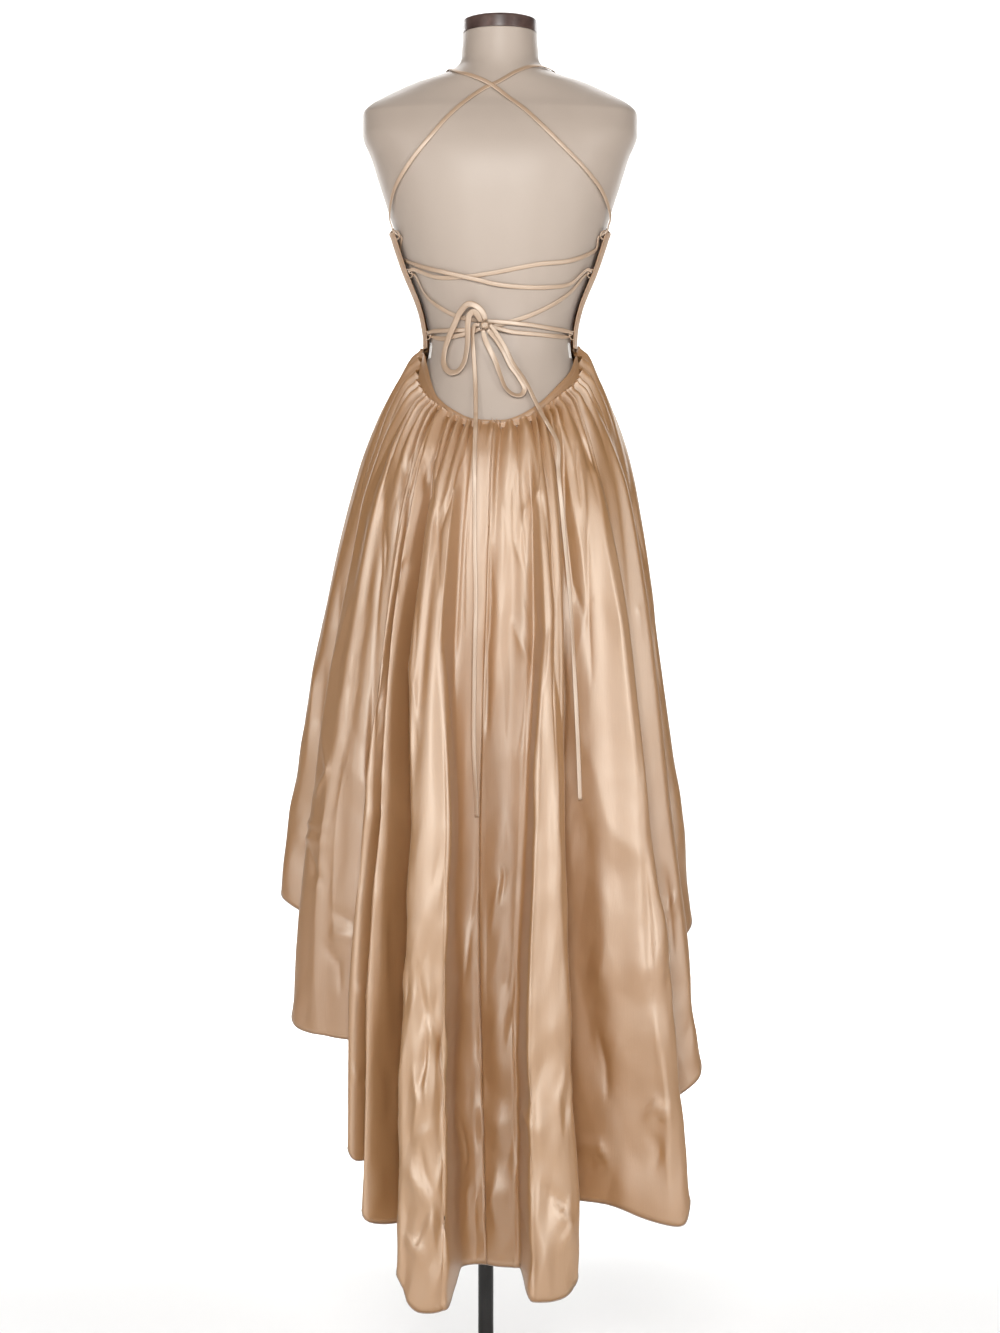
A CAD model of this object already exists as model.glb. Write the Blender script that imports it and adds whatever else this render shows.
# %% [markdown]
# # A high-low satin dress on a limbless dress form
#
# The dress is seen from behind, where its open back is laced. Every visible piece is made again here
# over its solid, with the same sizes, and then gets its folds, seams and finish. Sizes are in metres,
# +Z is up, the dress faces -Y, and the wearer's left is +X.

# %% Load the solids
import math

import bmesh
import bpy
import numpy as np
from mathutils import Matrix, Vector
from mathutils.bvhtree import BVHTree


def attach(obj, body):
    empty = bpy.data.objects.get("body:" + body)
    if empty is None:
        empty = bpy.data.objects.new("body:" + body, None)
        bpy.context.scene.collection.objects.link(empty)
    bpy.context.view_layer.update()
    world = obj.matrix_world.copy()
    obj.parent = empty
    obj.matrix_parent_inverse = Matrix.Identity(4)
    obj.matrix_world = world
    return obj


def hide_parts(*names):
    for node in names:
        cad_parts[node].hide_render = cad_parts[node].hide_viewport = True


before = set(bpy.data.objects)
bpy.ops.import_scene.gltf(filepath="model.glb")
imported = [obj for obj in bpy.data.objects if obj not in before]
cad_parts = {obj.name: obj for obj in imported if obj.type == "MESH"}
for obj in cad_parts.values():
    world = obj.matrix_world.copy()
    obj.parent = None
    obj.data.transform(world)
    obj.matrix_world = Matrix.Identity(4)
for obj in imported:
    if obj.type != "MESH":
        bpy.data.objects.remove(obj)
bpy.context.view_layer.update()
MM = 0.001

# %% [markdown]
# The photograph was taken level, from about four metres, with the middle of the picture one metre above
# the floor. A longer lens at a distance keeps the hem's perspective: near folds hang lower in the picture.

# %% Camera
CAMERA_DISTANCE = 4.0
CAMERA_HEIGHT = 1.0
FORM_X = -0.020  # the form's middle stands beside the pole
LENS_PIXELS = 2837  # the lens's length in the photograph's pixels
SENSOR = 36.0
PHOTO_HEIGHT = 1333  # in pixels

camera_data = bpy.data.cameras.new("camera")
camera_data.sensor_fit = "VERTICAL"
camera_data.sensor_height = SENSOR
camera_data.lens = SENSOR * LENS_PIXELS / PHOTO_HEIGHT
camera_data.clip_end = 50
camera = bpy.data.objects.new("camera", camera_data)
bpy.context.scene.collection.objects.link(camera)
camera.location = (FORM_X, CAMERA_DISTANCE, CAMERA_HEIGHT)
camera.rotation_euler = (math.radians(90), 0, math.radians(180))
bpy.context.scene.camera = camera
print("lens", round(camera_data.lens, 1), "mm")

# %% [markdown]
# The form and the skirt are worked out from short tables of named sizes. This curve runs smoothly through
# a table's rows, and it is sampled once so that thousands of points can read it at a time.


# %% Smooth tables
def smooth_table(table, samples=1500):
    """A table as sample places and one smooth column for each of its values."""
    rows = np.array(table, dtype=float)
    at, values = rows[:, 0], rows[:, 1:]
    places = np.linspace(at[0], at[-1], samples)
    index = np.clip(np.searchsorted(at, places, side="left") - 1, 0, len(at) - 2)
    start, end = index, index + 1
    before, after = np.maximum(index - 1, 0), np.minimum(index + 2, len(at) - 1)
    span = (at[end] - at[start])[:, None]
    t = (places - at[start])[:, None] / span
    rise = values[end] - values[start]
    wide_in = np.maximum((at[end] - at[before])[:, None], span)
    wide_out = np.maximum((at[after] - at[start])[:, None], span)
    slope_in = (values[end] - values[before]) / wide_in * span
    slope_out = (values[after] - values[start]) / wide_out * span
    slope_in = np.where(rise * (values[start] - values[before]) <= 0, 0, slope_in)
    slope_out = np.where((values[after] - values[end]) * rise <= 0, 0, slope_out)
    smooth = (2 * t**3 - 3 * t**2 + 1) * values[start] + (t**3 - 2 * t**2 + t) * slope_in
    smooth += (3 * t**2 - 2 * t**3) * values[end] + (t**3 - t**2) * slope_out
    return places, smooth


def read_table(table, at):
    """Every value column of a smoothed table, at an array of places."""
    places, smooth = table
    return [np.interp(at, places, smooth[:, c]) for c in range(smooth.shape[1])]


def bell(x, spread):
    return np.exp(-((np.asarray(x) / spread) ** 2))


def wrapped(degrees):
    return (np.asarray(degrees) + 180) % 360 - 180


# %% The form's measured sections
FORM_SECTIONS = smooth_table(
    (
        # height, half_width, back_depth, front_depth, squareness
        (1.120, 0.146, 0.110, 0.096, 2.30),
        (1.180, 0.152, 0.117, 0.101, 2.30),
        (1.240, 0.151, 0.119, 0.103, 2.30),
        (1.300, 0.140, 0.111, 0.100, 2.25),
        (1.350, 0.126, 0.098, 0.093, 2.20),
        (1.400, 0.110, 0.085, 0.086, 2.15),
        (1.450, 0.0995, 0.078, 0.080, 2.10),
        (1.500, 0.107, 0.082, 0.083, 2.15),
        (1.558, 0.130, 0.092, 0.091, 2.20),
        (1.628, 0.153, 0.102, 0.098, 2.30),
        (1.680, 0.170, 0.106, 0.095, 2.40),
        (1.715, 0.181, 0.103, 0.087, 2.50),
        (1.750, 0.1935, 0.093, 0.075, 2.60),
        (1.775, 0.1935, 0.082, 0.064, 2.60),
        (1.789, 0.183, 0.074, 0.058, 2.50),
        (1.802, 0.160, 0.068, 0.055, 2.40),
        (1.820, 0.122, 0.061, 0.053, 2.20),
        (1.834, 0.080, 0.056, 0.052, 2.05),
        (1.848, 0.058, 0.053, 0.052, 2.00),
        (1.870, 0.0535, 0.0515, 0.0515, 2.00),
        (1.892, 0.052, 0.0515, 0.0515, 2.00),
    )
)
FORM_LOW, FORM_HIGH = 1.120, 1.892
BUST = {"angle": 30, "height": 1.612, "out": 0.027, "spread": 22, "tall": 0.052}
SPINE = {"in": 0.004, "spread": 11, "height": 1.56, "tall": 0.14}


def form_points(angle, height, lift=0.0):
    """Points on the form, or off it by the lift. Angle 0 is the centre back, 90 the wearer's right side."""
    angle, height, lift = np.broadcast_arrays(np.asarray(angle, float), height, lift)
    half_width, back, front, power = read_table(FORM_SECTIONS, height)
    sine, cosine = np.sin(np.radians(angle)), np.cos(np.radians(angle))
    depth = np.where(cosine > 0, back, front)
    x = -half_width * np.sign(sine) * np.abs(sine) ** (2 / power)
    y = depth * np.sign(cosine) * np.abs(cosine) ** (2 / power)
    out_x = np.sign(x) * np.abs(x / half_width) ** (power - 1) / half_width
    out_y = np.sign(y) * np.abs(y / depth) ** (power - 1) / depth
    length = np.hypot(out_x, out_y)
    turn = np.abs(wrapped(angle))
    bust = BUST["out"] * bell(180 - turn - BUST["angle"], BUST["spread"])
    bust = bust * bell(height - BUST["height"], BUST["tall"])
    spine = SPINE["in"] * bell(turn, SPINE["spread"]) * bell(height - SPINE["height"], SPINE["tall"])
    out = lift + bust - spine
    return np.stack([FORM_X + x + out_x / length * out, y + out_y / length * out, height], axis=-1)


print("form sections from", FORM_LOW, "to", FORM_HIGH, "m")

# %% [markdown]
# Satin is a smooth weave of long floats: pale where it faces the light, and warm and deep where light
# bounces between two folds. The shade comes from the folds and the lamps, so the material itself stays
# one warm tan, with a wide gloss, a fine twill of threads, and faint slubs that run down the cloth.


# %% Material helpers
def new_material(name, colour, roughness):
    material = bpy.data.materials.new(name)
    material.use_nodes = True
    nodes, links = material.node_tree.nodes, material.node_tree.links
    shader = nodes["Principled BSDF"]
    shader.inputs["Base Color"].default_value = (*colour, 1)
    shader.inputs["Roughness"].default_value = roughness
    return material, nodes, links, shader


def add_node(nodes, kind, **settings):
    """A new node, with its sockets and properties set by name."""
    node = nodes.new(kind)
    for key, value in settings.items():
        if key in node.inputs:
            node.inputs[key].default_value = value
        else:
            setattr(node, key, value)
    return node


def object_noise(nodes, links, scale, stretch=(1, 1, 1), detail=2.0, rough=0.5):
    """Noise on the piece's own place, stretched along the three directions."""
    place = add_node(nodes, "ShaderNodeTexCoord")
    mapping = add_node(nodes, "ShaderNodeMapping")
    mapping.inputs["Scale"].default_value = stretch
    texture = add_node(nodes, "ShaderNodeTexNoise", Scale=scale, Detail=detail, Roughness=rough)
    links.new(place.outputs["Object"], mapping.inputs["Vector"])
    links.new(mapping.outputs["Vector"], texture.inputs["Vector"])
    return texture.outputs["Fac"]


def uv_wave(nodes, links, count_u, count_v, direction="DIAGONAL"):
    """Fine bands on the cloth's own unrolled surface."""
    place = add_node(nodes, "ShaderNodeTexCoord")
    mapping = add_node(nodes, "ShaderNodeMapping")
    mapping.inputs["Scale"].default_value = (count_u, count_v, 1)
    wave = add_node(nodes, "ShaderNodeTexWave", Scale=1.0, Distortion=0.6, Detail=1.0)
    wave.bands_direction = direction
    links.new(place.outputs["UV"], mapping.inputs["Vector"])
    links.new(mapping.outputs["Vector"], wave.inputs["Vector"])
    return wave.outputs["Fac"]


def add_bump(nodes, links, shader, height, strength, distance, before=None):
    bump = add_node(nodes, "ShaderNodeBump", Strength=strength, Distance=distance)
    links.new(height, bump.inputs["Height"])
    if before is not None:
        links.new(before.outputs["Normal"], bump.inputs["Normal"])
    links.new(bump.outputs["Normal"], shader.inputs["Normal"])
    return bump


def tint_by(nodes, links, shader, factor, dark, light, low=0.3, high=0.7):
    """Runs the base colour between two tints of the cloth."""
    ramp = add_node(nodes, "ShaderNodeValToRGB")
    ramp.color_ramp.elements[0].position = low
    ramp.color_ramp.elements[0].color = (*dark, 1)
    ramp.color_ramp.elements[1].position = high
    ramp.color_ramp.elements[1].color = (*light, 1)
    links.new(factor, ramp.inputs["Fac"])
    links.new(ramp.outputs["Color"], shader.inputs["Base Color"])


# %% The satin
SATIN_DARK, SATIN_LIGHT = (0.338, 0.147, 0.039), (0.371, 0.173, 0.049)
TIES_DARK, TIES_LIGHT = (0.42, 0.265, 0.160), (0.47, 0.305, 0.190)
SATIN_ROUGHNESS = 0.51
SATIN_IOR = 2.8


def make_satin(name, thread_u, thread_v, dark=SATIN_DARK, light=SATIN_LIGHT):
    """A satin, with so many threads across and down the cloth's own surface."""
    satin, nodes, links, shader = new_material(name, light, SATIN_ROUGHNESS)
    cloudy = object_noise(nodes, links, 3.0, (1.4, 1.4, 0.5), 3.0)
    tint_by(nodes, links, shader, cloudy, dark, light)
    slubs = object_noise(nodes, links, 420.0, (1, 1, 0.05), 1.0)
    coarse = add_bump(nodes, links, shader, slubs, 0.22, 0.0005)
    twill = uv_wave(nodes, links, thread_u, thread_v)
    add_bump(nodes, links, shader, twill, 0.10, 0.00012, coarse)
    shader.inputs["Sheen Weight"].default_value = 0.05
    shader.inputs["Sheen Roughness"].default_value = 0.35
    shader.inputs["Sheen Tint"].default_value = (1.0, 0.90, 0.80, 1)
    shader.inputs["IOR"].default_value = SATIN_IOR
    shader.inputs["Specular Tint"].default_value = (1.0, 0.98, 0.91, 1)
    shader.inputs["Anisotropic"].default_value = 0.3
    return satin


SATIN_SKIRT = make_satin("satin_skirt", 620, 900)
SATIN_BODICE = make_satin("satin_bodice", 420, 260)
SATIN_TIES = make_satin("satin_ties", 8, 400, TIES_DARK, TIES_LIGHT)
print("satin ready")

# %% [markdown]
# The form is covered in pale knitted jersey drawn over a hard shell. A fine rib runs down it, and it has
# a soft gloss where the shell pulls it tight.

# %% Jersey, cap, stand and ribbon
def grained(name, colour, roughness, noise, tints, bump, gloss=()):
    """A material with one noise for its tint and its relief; gloss sets further sockets by name."""
    material, nodes, links, shader = new_material(name, colour, roughness)
    grain = object_noise(nodes, links, *noise)
    if tints:
        tint_by(nodes, links, shader, grain, *tints)
    if bump:
        add_bump(nodes, links, shader, grain, *bump)
    for socket, value in gloss:
        shader.inputs[socket].default_value = value
    return material, nodes, links, shader


JERSEY, nodes, links, shader = grained(
    "form_jersey",
    (0.44, 0.362, 0.302),
    0.50,
    (5.0, (1, 1, 0.7), 3.0),
    ((0.42, 0.342, 0.284), (0.46, 0.382, 0.320)),
    None,
    (("Sheen Weight", 0.15), ("Sheen Roughness", 0.4), ("Coat Weight", 0.10), ("Coat Roughness", 0.35)),
)
knit = uv_wave(nodes, links, 260, 2, "X")
fine_knit = add_bump(nodes, links, shader, knit, 0.10, 0.0002)
fuzz = object_noise(nodes, links, 900.0)
add_bump(nodes, links, shader, fuzz, 0.08, 0.0002, fine_knit)

WOOD_TINTS = (0.060, 0.035, 0.030), (0.120, 0.072, 0.060)
BLACK_TINTS = (0.010, 0.009, 0.008), (0.017, 0.015, 0.014)
HEM_TINTS = (0.26, 0.20, 0.165), (0.42, 0.33, 0.27)
CAP_WOOD = grained(
    "cap_wood", (0.085, 0.050, 0.042), 0.34, (60.0, (1, 0.12, 1), 4.0), WOOD_TINTS, (0.12, 0.0004)
)[0]
STAND_BLACK = grained("stand_black", (0.012, 0.011, 0.010), 0.38, (700.0,), BLACK_TINTS, (0.10, 0.0002))[0]
THREAD = grained("sewing_thread", (0.50, 0.35, 0.25), 0.55, (1500.0,), None, (0.3, 0.0002))[0]
HEM_EDGE = grained("rolled_hem", (0.33, 0.26, 0.215), 0.55, (900.0,), HEM_TINTS, (0.4, 0.0003))[0]
RIBBON_WHITE, nodes, links, shader = new_material("ribbon_white", (0.82, 0.80, 0.77), 0.40)
rib = uv_wave(nodes, links, 2, 40, "Y")
add_bump(nodes, links, shader, rib, 0.25, 0.0002)
shader.inputs["Sheen Weight"].default_value = 0.3
print("materials", len(bpy.data.materials))

# %% [markdown]
# A sheet of cloth starts as a flat grid, as it does on the cutting table. Its points are then moved to
# where the cloth lies, so the grid's own UV map stays the cloth's weave. A turned tube for ties and
# edges is a ring of points that is carried along a route.


# %% Sheet and tube helpers
def link_piece(name, mesh, material):
    piece = bpy.data.objects.new(name, mesh)
    bpy.context.scene.collection.objects.link(piece)
    mesh.materials.append(material)
    mesh.shade_smooth()
    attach(piece, "root")
    return piece


def cloth_sheet(name, places, material, wall=0.0):
    """A grid of cloth laid on an array of places, rows down from the top edge."""
    rows, columns = places.shape[:2]
    bm = bmesh.new()
    bm.loops.layers.uv.new("UVMap")
    bmesh.ops.create_grid(bm, x_segments=columns - 1, y_segments=rows - 1, size=1, calc_uvs=True)
    mesh = bpy.data.meshes.new(name)
    bm.to_mesh(mesh)
    bm.free()
    flat = np.zeros(len(mesh.vertices) * 3, dtype=np.float32)
    mesh.vertices.foreach_get("co", flat)
    flat = flat.reshape(-1, 3)
    column = np.rint((flat[:, 0] + 1) / 2 * (columns - 1)).astype(int)
    row = np.rint((1 - flat[:, 1]) / 2 * (rows - 1)).astype(int)
    mesh.vertices.foreach_set("co", places[row, column].astype(np.float32).ravel())
    mesh.update()
    piece = link_piece(name, mesh, material)
    if wall:
        solid = piece.modifiers.new("wall", "SOLIDIFY")
        solid.thickness = wall
        solid.offset = -1
        solid.use_even_offset = False
    print(name, "grid", rows, "x", columns)
    return piece


def tube_piece(name, rings, material):
    """A tube through rings of points, carried along by extruding its end ring."""
    rings = np.asarray(rings, dtype=float)
    count, sides = rings.shape[:2]
    bm = bmesh.new()
    bm.loops.layers.uv.new("UVMap")
    bmesh.ops.create_grid(bm, x_segments=sides, y_segments=count - 1, size=1, calc_uvs=True)
    for v in bm.verts:
        side = round((v.co.x + 1) / 2 * sides) % sides
        step = round((v.co.y + 1) / 2 * (count - 1))
        v.co = rings[step, side]
    bmesh.ops.remove_doubles(bm, verts=bm.verts, dist=1e-7)
    bmesh.ops.holes_fill(bm, edges=[e for e in bm.edges if e.is_boundary], sides=0)
    bmesh.ops.recalc_face_normals(bm, faces=bm.faces)
    mesh = bpy.data.meshes.new(name)
    bm.to_mesh(mesh)
    bm.free()
    return link_piece(name, mesh, material)


def unit(vectors):
    return vectors / np.maximum(np.linalg.norm(vectors, axis=-1, keepdims=True), 1e-12)


def directions(route):
    """The way ahead at each point of a route."""
    return unit(np.gradient(np.asarray(route, dtype=float), axis=0))


def round_rings(route, radius, sides=8, facing=(0, 0, 1)):
    """Round rings along a route, carried without twist."""
    ahead = directions(route)
    across = np.cross(facing, ahead[0])
    rings = []
    turn = np.linspace(0, 2 * np.pi, sides, endpoint=False)
    for point, way in zip(route, ahead):
        across = across - way * across.dot(way)
        across /= np.linalg.norm(across)
        up = np.cross(way, across)
        rings.append(point + radius * (np.cos(turn)[:, None] * across + np.sin(turn)[:, None] * up))
    return rings


def grid_normals(places):
    """Outward normals of a cloth grid."""
    across = np.gradient(places, axis=1)
    down = np.gradient(places, axis=0)
    return unit(np.cross(down, across))


# %% [markdown]
# The form's torso is one smooth shell. It is lofted from the same sections as its solid, with enough
# rings for a clean outline, and the jersey's side seams are fine ridges down its sides.

# %% Torso and neck cap
TORSO_COLUMNS = 144
SHOULDERS = 1.72  # above this height the rings lie closer together
torso_heights = np.concatenate(
    [np.linspace(FORM_LOW, SHOULDERS, 110, endpoint=False), np.linspace(SHOULDERS, FORM_HIGH, 100)]
)
torso_angles = np.linspace(0, 360, TORSO_COLUMNS, endpoint=False)
seam_ridge = 0.0005 * bell(np.abs(wrapped(torso_angles)) - 90, 2.0)
torso_rings = form_points(torso_angles[None, :], torso_heights[:, None], seam_ridge[None, :] - 0.0002)
torso = tube_piece("torso_shell", torso_rings, JERSEY)
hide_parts("form_torso")

CAP_RADIUS, CAP_HEIGHT = 0.0522, 0.019
CAP_ROUND = 0.004
CAP_CROWN = 0.0004
cap_bottom = FORM_HIGH + 0.3 * MM
cap_shoulder = cap_bottom + CAP_HEIGHT - CAP_ROUND
cap_profile = [(CAP_RADIUS, cap_bottom), (CAP_RADIUS, cap_shoulder)]
for a in np.radians(range(15, 91, 15)):
    cap_profile += [(CAP_RADIUS - CAP_ROUND * (1 - math.cos(a)), cap_shoulder + CAP_ROUND * math.sin(a))]
for r in (0.036, 0.020, 0.006):
    cap_profile += [(r, cap_bottom + CAP_HEIGHT + CAP_CROWN * (1 - r / CAP_RADIUS))]


def turned_piece(name, profile, material, middle_x=0.0, steps=96):
    """A piece turned on a lathe, from (radius, height) pairs going up."""
    turn = np.linspace(0, 2 * np.pi, steps, endpoint=False)
    rings = []
    for r, z in profile:
        rings.append(np.stack([middle_x + r * np.cos(turn), r * np.sin(turn), np.full(steps, z)], axis=-1))
    piece = tube_piece(name, rings, material)
    piece.data.set_sharp_from_angle(angle=math.radians(40))
    return piece


cap = turned_piece("neck_cap", cap_profile, CAP_WOOD, FORM_X)
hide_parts("form_neck_cap")
print("torso", len(torso.data.polygons), "faces")

# %% [markdown]
# The stand is a tube in a plate, with a set-screw collar below and a flange under the torso. It is out
# of the way under the skirt, but it carries everything, so each piece gets turned edges.

# %% Stand
STAND = (
    # piece, node, steps round it, then radius and height going up
    (
        ("base_plate", "stand_base", 96),
        ((0.1965, 0.0), (0.198, 0.0012), (0.198, 0.0040), (0.1972, 0.0053), (0.1955, 0.0060)),
        ((0.080, 0.0060), (0.030, 0.0060)),
    ),
    (
        ("pole_collar", "stand_collar", 64),
        ((0.0205, 0.0063), (0.0210, 0.0070), (0.0208, 0.0200), (0.0196, 0.0225), (0.0172, 0.0245)),
        ((0.0166, 0.0335), (0.0160, 0.0343), (0.0112, 0.0343)),
    ),
    (
        ("pole_tube", "stand_pole", 48),
        ((0.0102, 0.0346), (0.0108, 0.0352), (0.0108, 0.5500), (0.0108, 1.1000), (0.0104, 1.1054)),
        (),
    ),
    (
        ("torso_flange", "stand_flange", 64),
        ((0.0155, 1.1057), (0.0165, 1.1062), (0.0240, 1.1085), (0.0430, 1.1140), (0.0450, 1.1152)),
        ((0.0450, 1.1192), (0.0446, 1.1197)),
    ),
)
for (name, node, steps), lower, upper in STAND:
    piece = turned_piece(name, lower + upper, STAND_BLACK, steps=steps)
    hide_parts(node)

# %% [markdown]
# The skirt is gathered onto the waist in small puffs, which run together below into deep folds. Its
# outline is worked out from a few tables: where its top edge and hem lie round the body, how far it
# swings out with the drop, and where each large fold has its ridge and its valley.

# %% Skirt tables
CLOSE_FIT = 2.2 * MM
SIDE_EASE = {"out": 0.006, "angle": 88, "spread": 22}
CLOTH = 1.2 * MM
SEAM_GAP = 0.3 * MM
SKIRT_TOP = smooth_table(
    (
        # angle from the centre back, below 0 on the wearer's left, and height
        (-180, 1.455),
        (-101, 1.451),
        (-90, 1.436),
        (-77, 1.406),
        (-65, 1.389),
        (-51, 1.373),
        (-39, 1.361),
        (-26, 1.3465),
        (-15, 1.338),
        (0, 1.336),
        (10.7, 1.341),
        (19, 1.348),
        (30, 1.3625),
        (43.6, 1.379),
        (65, 1.399),
        (78, 1.418),
        (90, 1.443),
        (101, 1.453),
        (180, 1.455),
    )
)
HEM = smooth_table(
    (
        # angle, height
        (-180, 0.945),
        (-155, 0.915),
        (-132, 0.850),
        (-111, 0.765),
        (-90, 0.690),
        (-84, 0.663),
        (-77, 0.622),
        (-69, 0.550),
        (-63, 0.512),
        (-52, 0.500),
        (-42.2, 0.492),
        (-41.0, 0.478),
        (-40.2, 0.400),
        (-39.4, 0.368),
        (-37, 0.345),
        (-34.8, 0.336),
        (-33.8, 0.290),
        (-32, 0.268),
        (-29, 0.260),
        (-25, 0.262),
        (-22, 0.205),
        (-19, 0.170),
        (-15, 0.162),
        (-10.6, 0.168),
        (-10.0, 0.176),
        (-8.6, 0.190),
        (0, 0.190),
        (5.8, 0.190),
        (7, 0.178),
        (13, 0.180),
        (17, 0.193),
        (19.5, 0.214),
        (22, 0.268),
        (26, 0.284),
        (33, 0.282),
        (38, 0.268),
        (41.5, 0.262),
        (43.5, 0.268),
        (45.5, 0.292),
        (66, 0.445),
        (90, 0.654),
        (113, 0.765),
        (137, 0.860),
        (160, 0.920),
        (180, 0.945),
    )
)
SKIRT_SWING = smooth_table(
    (
        # drop, side, back, front, sway, fold, small_fold
        (0.000, 0.000, 0.000, 0.000, 0.000, 0.000, 0.0000),
        (0.010, 0.013, 0.008, 0.009, 0.000, 0.000, 0.0002),
        (0.025, 0.026, 0.018, 0.019, 0.001, 0.001, 0.0010),
        (0.050, 0.041, 0.031, 0.032, 0.002, 0.003, 0.0020),
        (0.090, 0.059, 0.048, 0.049, 0.003, 0.009, 0.0036),
        (0.160, 0.082, 0.071, 0.072, 0.004, 0.019, 0.0050),
        (0.300, 0.111, 0.106, 0.100, 0.007, 0.043, 0.0062),
        (0.440, 0.132, 0.132, 0.119, 0.011, 0.063, 0.0060),
        (0.580, 0.152, 0.153, 0.135, 0.013, 0.078, 0.0052),
        (0.750, 0.172, 0.173, 0.150, 0.012, 0.094, 0.0044),
        (1.000, 0.188, 0.199, 0.165, 0.005, 0.114, 0.0036),
        (1.200, 0.196, 0.220, 0.175, 0.001, 0.128, 0.0030),
    )
)
BACK_FOLDS = smooth_table(
    (
        # angle from the centre back, how far in, as a share of the folds' depth
        (-90, -0.14),
        (-86, -0.06),
        (-79, 0.66),
        (-76, 0.80),
        (-72, 0.60),
        (-67, 0.06),
        (-63, -0.03),
        (-57, 0.08),
        (-50, 0.26),
        (-44, 0.44),
        (-42, 0.54),
        (-41.0, 0.84),
        (-40.4, 0.90),
        (-39.8, 0.50),
        (-39.2, 0.08),
        (-38.2, 0.02),
        (-36.5, 0.10),
        (-35.4, 0.30),
        (-34.5, 0.56),
        (-33.9, 0.52),
        (-33.1, 0.10),
        (-32.4, 0.00),
        (-31, 0.08),
        (-28, 0.62),
        (-25.6, 1.06),
        (-24.6, 1.14),
        (-23.6, 0.90),
        (-22.4, 0.12),
        (-21.5, -0.06),
        (-20, -0.10),
        (-15, -0.10),
        (-11.5, -0.02),
        (-10.2, 0.08),
        (-9.2, 0.80),
        (-8.2, 1.16),
        (-5, 1.34),
        (-3, 1.35),
        (1, 1.22),
        (4, 1.15),
        (5.8, 1.08),
        (6.6, 0.60),
        (7.2, 0.04),
        (8.6, -0.06),
        (13, -0.07),
        (17, -0.02),
        (19.3, 0.10),
        (20.6, 0.50),
        (22, 0.92),
        (23.5, 0.98),
        (27, 0.78),
        (31, 0.50),
        (37, 0.06),
        (41, -0.28),
        (44, -0.37),
        (46.5, -0.30),
        (51, 0.34),
        (55, 0.60),
        (60, 0.36),
        (64, 0.04),
        (66, 0.00),
        (70, 0.08),
        (75, 0.52),
        (78, 0.60),
        (82, 0.48),
        (87, 0.10),
        (90, 0.04),
    )
)
FOLD_LEAN = np.array(
    (
        # where a fold lies low down, and where 0.30, 0.55 and 1.15 m below the skirt's top
        (-90, -90, -90, -90),
        (-63, -63, -63, -63),
        (-42, -41.6, -41.2, -42.2),
        (-40.4, -40, -39.6, -40.6),
        (-39.2, -38, -38, -39.6),
        (-35.4, -36.6, -34.2, -36),
        (-34.2, -35.8, -33.2, -35.5),
        (-32.6, -34.6, -31.8, -33.7),
        (-24.6, -29, -23.6, -25),
        (-21.5, -26.5, -20.8, -22.3),
        (-9.8, -15.5, -9.5, -10.6),
        (-7, -10, -7, -7.4),
        (5.5, 12, 9, 4.6),
        (7.4, 15, 11.3, 6.2),
        (19.3, 22, 20.5, 19.3),
        (22, 25, 23, 21.6),
        (44, 44, 44, 44),
        (90, 90, 90, 90),
        (270, 270, 270, 270),
    ),
    dtype=float,
)
LEAN_DROPS = (0.30, 0.55, 0.85, 1.15)
FRONT_FOLDS = (
    # ridge, ridge_inset, valley, valley_share, steepness
    (90, 0.04, 101, 0.75, 1.7),
    (113, 0.05, 125, 0.80, 1.7),
    (137, 0.00, 149, 0.75, 1.7),
    (160, 0.06, 172, 0.80, 1.7),
    (184, 0.00, 195, 0.70, 1.7),
    (206, 0.05, 217, 0.80, 1.7),
    (228, 0.00, 239, 0.75, 1.7),
    (249, 0.05, 259, 0.70, 1.7),
    (270, -0.14, 270, 0.70, 1.7),
)
GATHERS = 72
EVEN_ROUND = 3.5


# %% Folds and gathers as functions
def ease(angle):
    """How far the garment's inside stands off the form there."""
    from_side = np.abs(wrapped(angle)) - SIDE_EASE["angle"]
    return CLOSE_FIT + SIDE_EASE["out"] * bell(from_side, SIDE_EASE["spread"])


def fold_table():
    """The large folds' inset, as a share of their depth, at every tenth of a degree."""
    turns = np.arange(-90, 270.05, 0.1)
    (inset,) = read_table(BACK_FOLDS, turns)
    for here, after in zip(FRONT_FOLDS, FRONT_FOLDS[1:]):
        ridge, ridge_in, valley, share, power = here
        sides = (
            ((turns >= ridge) & (turns <= valley), (turns - ridge) / (valley - ridge), ridge_in),
            ((turns > valley) & (turns <= after[0]), (after[0] - turns) / (after[0] - valley), after[1]),
        )
        for where, t, top in sides:
            t = np.clip(t, 0, 1)
            rise = t**power / (t**power + (1 - t) ** power)
            inset = np.where(where, top + (share - top) * rise, inset)
    return turns, inset


FOLD_TURNS, FOLD_INSET = fold_table()


def large_fold(angle, drop):
    """How far in the large folds run there. They hang plumb, so they lean across the gathers."""
    angle = (np.asarray(angle) + 90) % 360 - 90
    low = FOLD_LEAN[:, 0]
    at_levels = [np.interp(angle, FOLD_LEAN[:, c], low) for c in (1, 2)]
    at_levels += [angle, np.interp(angle, FOLD_LEAN[:, 3], low)]
    level = np.interp(drop, LEAN_DROPS, (0, 1, 2, 3))
    straight = sum(at * np.clip(1 - np.abs(level - k), 0, 1) for k, at in enumerate(at_levels))
    return np.interp(straight, FOLD_TURNS, FOLD_INSET)


def cloth_angle(gather):
    """Where a gather lies round the body, in degrees. A maker's gathers aren't quite even."""
    even = 360 * np.asarray(gather, dtype=float) / GATHERS
    uneven = 1.1 * np.sin(np.radians(9 * even)) + 0.7 * np.sin(np.radians(23 * even + 60))
    return even - EVEN_ROUND * np.sin(np.radians(2 * even)) + uneven


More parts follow.
